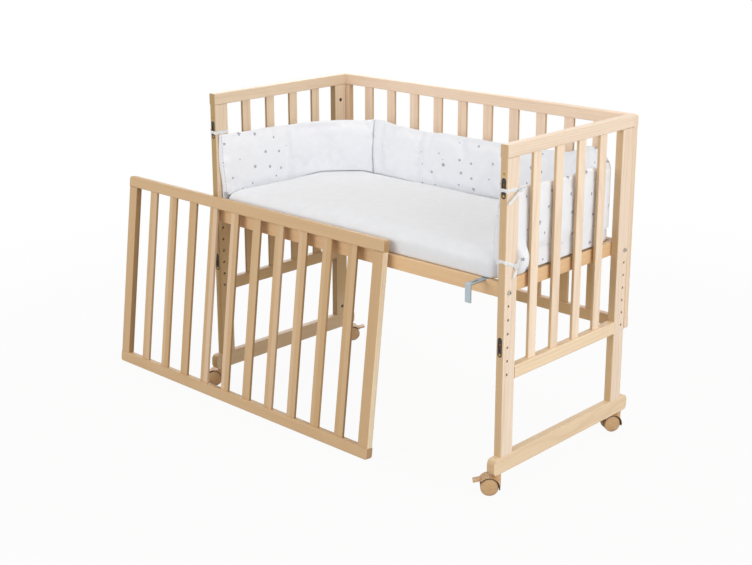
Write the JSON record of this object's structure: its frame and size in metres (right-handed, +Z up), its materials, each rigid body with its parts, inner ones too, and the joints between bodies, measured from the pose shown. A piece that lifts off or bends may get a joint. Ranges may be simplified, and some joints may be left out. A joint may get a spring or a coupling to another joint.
{
  "type": "bedside bassinet",
  "caption": "Wooden bedside cot on castors with slatted ends, a mattress on a height-set base, a padded bumper, a bed hook and its front side taken off and leaned against it.",
  "frame": {"origin": "on the floor below the middle of the four posts", "axes": "+X along the cot's length to its right end, +Y from the open front to the back side, +Z up"},
  "size_m": [1.2883, 0.6032, 0.783],
  "materials": {
    "pine": "satin lacquered pine",
    "side_pine": "satin lacquered pine",
    "base_pine": "satin lacquered pine",
    "beech": "plain",
    "mattress_cover": "matt cover",
    "bumper_cotton": "matt cotton",
    "ribbon": "matt ribbon",
    "dark_plate": "satin black",
    "screw_brass": "dull",
    "zinc": "zinc plated",
    "hook_zinc": "zinc plated",
    "castor_wheel": "satin beige",
    "castor_body": "satin beige"
  },
  "bodies": {
    "frame": {"left_front_post": "pine", "left_back_post": "pine", "left_top_rail": "pine", "left_bottom_rail": "pine", "left_slats": "pine", "left_foot_rail": "pine", "right_front_post": "pine", "right_back_post": "pine", "right_top_rail": "pine", "right_bottom_rail": "pine", "right_slats": "pine", "right_foot_rail": "pine", "dowels": "beech", "back_top_rail": "pine", "back_bottom_rail": "pine", "back_stiles": "pine", "back_slats": "pine", "base_front_rail": "base_pine", "base_back_rail": "base_pine", "base_end_rails": "base_pine", "base_ledgers": "base_pine", "base_slats": "base_pine", "mattress": "mattress_cover", "bumper": "bumper_cotton", "bumper_ties": "ribbon", "keyhole_plates": "dark_plate", "plate_screws": "screw_brass", "base_bolts": "zinc", "foot_bolts": "zinc", "panel_bolts": "zinc", "barrel_nuts": "zinc", "bed_hook": "hook_zinc", "hook_screws": "zinc", "castor_stems": "zinc"},
    "front_side": {"side_top_rail": "side_pine", "side_bottom_rail": "side_pine", "side_stiles": "side_pine", "side_slats": "side_pine", "side_studs": "zinc"},
    "front_left_fork": {"front_left_hood": "castor_body", "front_left_axle": "zinc"},
    "front_left_inner_wheel": {"front_left_inner_wheel": "castor_wheel"},
    "front_left_outer_wheel": {"front_left_outer_wheel": "castor_wheel"},
    "front_left_brake": {"front_left_brake": "castor_body"},
    "back_left_fork": {"back_left_hood": "castor_body", "back_left_axle": "zinc"},
    "back_left_inner_wheel": {"back_left_inner_wheel": "castor_wheel"},
    "back_left_outer_wheel": {"back_left_outer_wheel": "castor_wheel"},
    "back_left_brake": {"back_left_brake": "castor_body"},
    "front_right_fork": {"front_right_hood": "castor_body", "front_right_axle": "zinc"},
    "front_right_inner_wheel": {"front_right_inner_wheel": "castor_wheel"},
    "front_right_outer_wheel": {"front_right_outer_wheel": "castor_wheel"},
    "front_right_brake": {"front_right_brake": "castor_body"},
    "back_right_fork": {"back_right_hood": "castor_body", "back_right_axle": "zinc"},
    "back_right_inner_wheel": {"back_right_inner_wheel": "castor_wheel"},
    "back_right_outer_wheel": {"back_right_outer_wheel": "castor_wheel"},
    "back_right_brake": {"back_right_brake": "castor_body"}
  },
  "joints": [
    {"name": "front_left_swivel", "type": "hinge", "parent": "frame", "child": "front_left_fork", "pos_m": [-0.465, -0.233, 0.046], "axis": [0, 0, 1], "continuous": true},
    {"name": "front_left_inner_roll", "type": "hinge", "parent": "front_left_fork", "child": "front_left_inner_wheel", "pos_m": [-0.47893, -0.24275, 0.02], "axis": [0.5736, -0.8192, 0], "continuous": true},
    {"name": "front_left_outer_roll", "type": "hinge", "parent": "front_left_fork", "child": "front_left_outer_wheel", "pos_m": [-0.47893, -0.24275, 0.02], "axis": [0.5736, -0.8192, 0], "continuous": true},
    {"name": "front_left_brake_lift", "type": "hinge", "parent": "front_left_fork", "child": "front_left_brake", "pos_m": [-0.49503, -0.25403, 0.03428], "axis": [-0.5736, 0.8192, 0], "range_deg": [0, 25]},
    {"name": "back_left_swivel", "type": "hinge", "parent": "frame", "child": "back_left_fork", "pos_m": [-0.465, 0.24, 0.046], "axis": [0, 0, 1], "continuous": true},
    {"name": "back_left_inner_roll", "type": "hinge", "parent": "back_left_fork", "child": "back_left_inner_wheel", "pos_m": [-0.45525, 0.25393, 0.02], "axis": [-0.8192, 0.5736, 0], "continuous": true},
    {"name": "back_left_outer_roll", "type": "hinge", "parent": "back_left_fork", "child": "back_left_outer_wheel", "pos_m": [-0.45525, 0.25393, 0.02], "axis": [-0.8192, 0.5736, 0], "continuous": true},
    {"name": "back_left_brake_lift", "type": "hinge", "parent": "back_left_fork", "child": "back_left_brake", "pos_m": [-0.44397, 0.27003, 0.03428], "axis": [0.8192, -0.5736, 0], "range_deg": [-25, 0]},
    {"name": "front_right_swivel", "type": "hinge", "parent": "frame", "child": "front_right_fork", "pos_m": [0.465, -0.233, 0.046], "axis": [0, 0, 1], "continuous": true},
    {"name": "front_right_inner_roll", "type": "hinge", "parent": "front_right_fork", "child": "front_right_inner_wheel", "pos_m": [0.45237, -0.24438, 0.02], "axis": [0.6691, -0.7431, 0], "continuous": true},
    {"name": "front_right_outer_roll", "type": "hinge", "parent": "front_right_fork", "child": "front_right_outer_wheel", "pos_m": [0.45237, -0.24438, 0.02], "axis": [0.6691, -0.7431, 0], "continuous": true},
    {"name": "front_right_brake_lift", "type": "hinge", "parent": "front_right_fork", "child": "front_right_brake", "pos_m": [0.43776, -0.25753, 0.03428], "axis": [-0.6691, 0.7431, 0], "range_deg": [0, 25]},
    {"name": "back_right_swivel", "type": "hinge", "parent": "frame", "child": "back_right_fork", "pos_m": [0.465, 0.24, 0.046], "axis": [0, 0, 1], "continuous": true},
    {"name": "back_right_inner_roll", "type": "hinge", "parent": "back_right_fork", "child": "back_right_inner_wheel", "pos_m": [0.45599, 0.22558, 0.02], "axis": [0.848, -0.5299, 0], "continuous": true},
    {"name": "back_right_outer_roll", "type": "hinge", "parent": "back_right_fork", "child": "back_right_outer_wheel", "pos_m": [0.45599, 0.22558, 0.02], "axis": [0.848, -0.5299, 0], "continuous": true},
    {"name": "back_right_brake_lift", "type": "hinge", "parent": "back_right_fork", "child": "back_right_brake", "pos_m": [0.44557, 0.20891, 0.03428], "axis": [-0.848, 0.5299, 0], "range_deg": [0, 25]},
    {"name": "front_side_lift", "type": "slide", "parent": "frame", "child": "front_side", "axis": [0, 0, 1], "range_m": [0, 0.15]}
  ]
}
